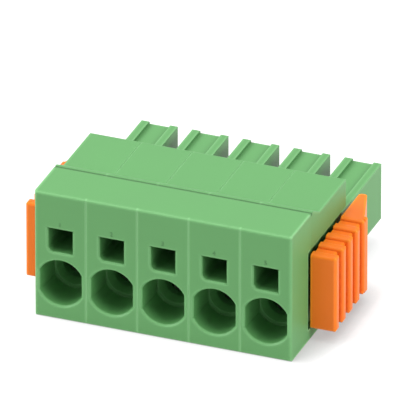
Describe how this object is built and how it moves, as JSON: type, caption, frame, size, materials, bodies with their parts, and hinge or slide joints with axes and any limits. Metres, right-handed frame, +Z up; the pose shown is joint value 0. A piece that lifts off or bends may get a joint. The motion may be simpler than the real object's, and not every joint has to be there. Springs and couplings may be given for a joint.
{
  "type": "pluggable terminal block",
  "caption": "Pluggable terminal block with push-in spring clamps, square release openings, plug fingers at the back and a ribbed release lever at each end.",
  "frame": {"origin": "middle of the whole footprint, on the surface the block stands on", "axes": "+X along the row of poles to the right seen from the wire side, +Y from the wire side to the plug fingers, +Z up"},
  "size_m": [0.0462, 0.0382, 0.0195],
  "materials": {
    "housing": "fine matte green moulding",
    "lever": "satin orange moulding",
    "contact_metal": "tin-plated copper alloy",
    "spring_steel": "bright spring steel"
  },
  "bodies": {
    "housing": {"wire_cover": "housing", "plug_body": "housing", "contact_1": "contact_metal", "contact_2": "contact_metal", "contact_3": "contact_metal", "contact_4": "contact_metal", "contact_5": "contact_metal", "overspring_1": "spring_steel", "overspring_2": "spring_steel", "overspring_3": "spring_steel", "overspring_4": "spring_steel", "overspring_5": "spring_steel", "clamp_cage_1": "spring_steel", "clamp_cage_2": "spring_steel", "clamp_cage_3": "spring_steel", "clamp_cage_4": "spring_steel", "clamp_cage_5": "spring_steel", "clamp_spring_1": "spring_steel", "clamp_spring_2": "spring_steel", "clamp_spring_3": "spring_steel", "clamp_spring_4": "spring_steel", "clamp_spring_5": "spring_steel"},
    "lever_left": {"latch_left": "lever"},
    "lever_right": {"latch_right": "lever"}
  },
  "joints": [
    {"name": "lever_left_press", "type": "hinge", "parent": "housing", "child": "lever_left", "pos_m": [-0.01992, -0.0009, 0.00777], "axis": [0, 0, 1], "range_deg": [0, 3.5], "stiffness_Nm_per_rad": 0.3, "springref_deg": -2.86},
    {"name": "lever_right_press", "type": "hinge", "parent": "housing", "child": "lever_right", "pos_m": [0.01992, -0.0009, 0.00777], "axis": [0, 0, -1], "range_deg": [0, 3.5], "stiffness_Nm_per_rad": 0.3, "springref_deg": -2.86}
  ]
}
